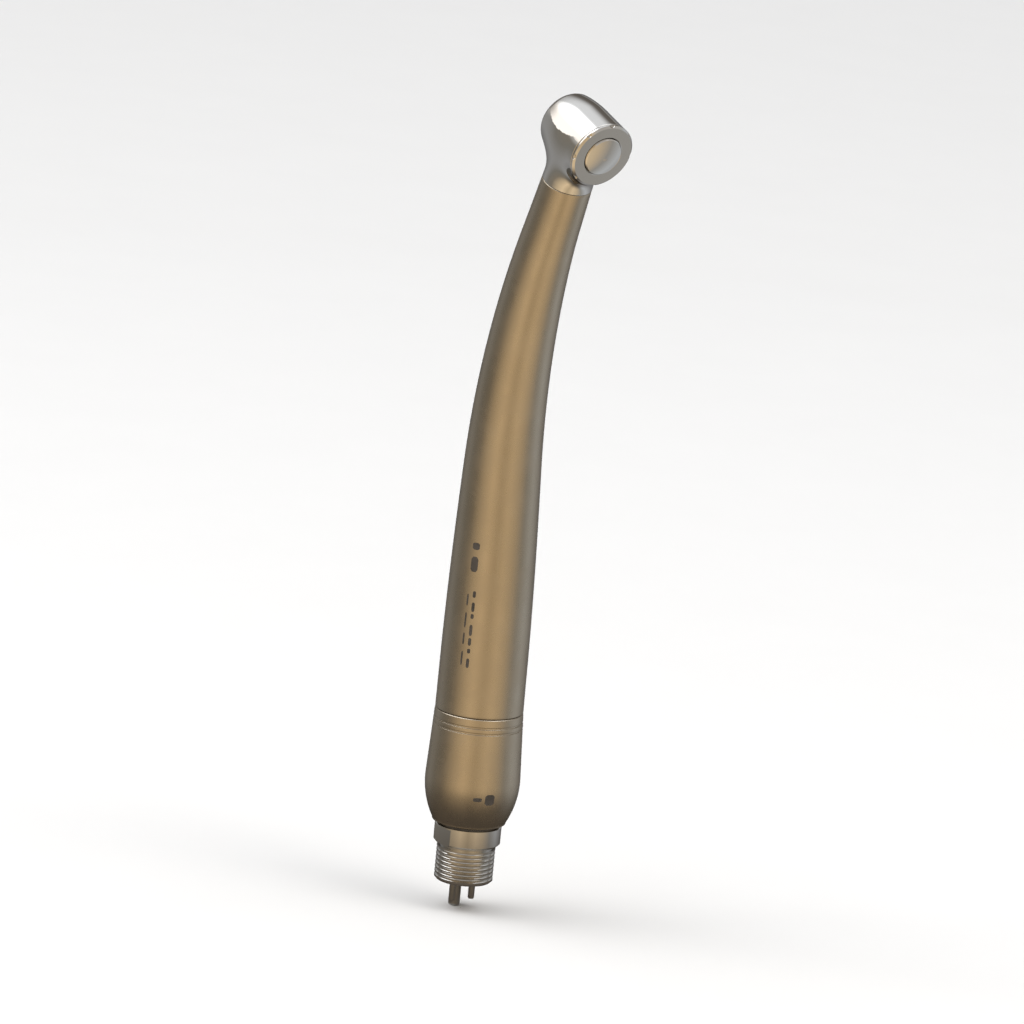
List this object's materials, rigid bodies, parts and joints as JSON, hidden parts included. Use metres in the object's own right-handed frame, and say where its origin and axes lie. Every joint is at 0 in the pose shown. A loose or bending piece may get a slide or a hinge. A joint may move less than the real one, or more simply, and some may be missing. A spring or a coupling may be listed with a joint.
{
  "type": "dental handpiece",
  "caption": "High speed dental handpiece: an air turbine with a push-button chuck in a contra-angle head, on a satin metal handle with a quick-release swivel coupler.",
  "frame": {"origin": "centre of the coupler's rear sealing face, where the unit's hose connects", "axes": "+Z forward along the handle to the head; -Y the side of the push button, towards which the neck bends; +Y the side of the bur; +X completes the right-handed frame"},
  "size_m": [0.0162, 0.0297, 0.1432],
  "materials": {
    "satin_steel": "fine satin, slightly warm",
    "polished_chrome": "mirror polished",
    "nickel_brass": "nickel plated, turned",
    "bare_steel": "turned or ground",
    "hard_steel": "ground and lapped",
    "wheel_alloy": "fine machined",
    "seal_rubber": "moulded, matte",
    "cage_resin": "filled resin",
    "white_plastic": "low friction, matte"
  },
  "bodies": {
    "coupler": {"coupler_base": "polished_chrome", "drive_air_spigot": "bare_steel", "water_spigot": "bare_steel", "chip_air_spigot": "bare_steel", "journal_seals": "seal_rubber", "swivel_washer": "white_plastic", "swivel_circlip": "bare_steel"},
    "swivel": {"swivel_nose": "nickel_brass", "nose_seals": "seal_rubber", "latch_ring": "bare_steel"},
    "handpiece": {"coupling_socket": "bare_steel", "rear_ring": "satin_steel", "handle_shell": "satin_steel", "drive_air_pipe": "bare_steel", "water_pipe": "bare_steel", "chip_air_pipe": "bare_steel", "pipe_spacer": "white_plastic", "head_housing": "polished_chrome", "spray_ring": "bare_steel", "rear_bearing_holder": "bare_steel", "preload_washer": "bare_steel", "head_cap": "polished_chrome", "button_spring": "bare_steel", "front_outer_race": "hard_steel", "rear_outer_race": "hard_steel", "front_shield": "hard_steel", "rear_shield": "hard_steel", "front_bearing_seal": "seal_rubber", "rear_bearing_seal": "seal_rubber"},
    "rotor": {"spindle": "hard_steel", "impeller": "wheel_alloy", "chuck_collet": "hard_steel", "front_inner_race": "hard_steel", "rear_inner_race": "hard_steel"},
    "front_ball_ring": {"front_balls": "hard_steel", "front_cage": "cage_resin"},
    "rear_ball_ring": {"rear_balls": "hard_steel", "rear_cage": "cage_resin"},
    "button": {"push_button": "polished_chrome", "button_seal": "seal_rubber"},
    "release_pin": {"release_pin": "hard_steel"}
  },
  "joints": [
    {"name": "swivel_turn", "type": "hinge", "parent": "coupler", "child": "swivel", "pos_m": [0, 0, 0.02], "axis": [0, 0, 1], "continuous": true},
    {"name": "pull_off", "type": "slide", "parent": "swivel", "child": "handpiece", "axis": [0, 0, 1], "range_m": [0, 0.022], "deforming": ["latch_ring"]},
    {"name": "rotor_spin", "type": "hinge", "parent": "handpiece", "child": "rotor", "pos_m": [0, -0.01362, 0.13163], "axis": [0, 0.9397, 0.342], "continuous": true},
    {"name": "front_ball_orbit", "type": "hinge", "parent": "handpiece", "child": "front_ball_ring", "pos_m": [0, -0.0108, 0.13266], "axis": [0, 0.9397, 0.342], "continuous": true},
    {"name": "rear_ball_orbit", "type": "hinge", "parent": "handpiece", "child": "rear_ball_ring", "pos_m": [0, -0.01648, 0.13059], "axis": [0, 0.9397, 0.342], "continuous": true},
    {"name": "button_press", "type": "slide", "parent": "handpiece", "child": "button", "axis": [0, 0.9397, 0.342], "range_m": [0, 0.0005], "stiffness_N_per_m": 2000, "springref_m": -0.002, "deforming": ["button_spring"]},
    {"name": "pin_push", "type": "slide", "parent": "rotor", "child": "release_pin", "axis": [0, 0.9397, 0.342], "range_m": [0, 0.00025]}
  ],
  "couplings": [
    {"joint": "front_ball_orbit", "follows": "rotor_spin", "ratio": 0.395},
    {"joint": "rear_ball_orbit", "follows": "rotor_spin", "ratio": 0.395},
    {"joint": "pin_push", "follows": "button_press", "ratio": 0.5}
  ]
}
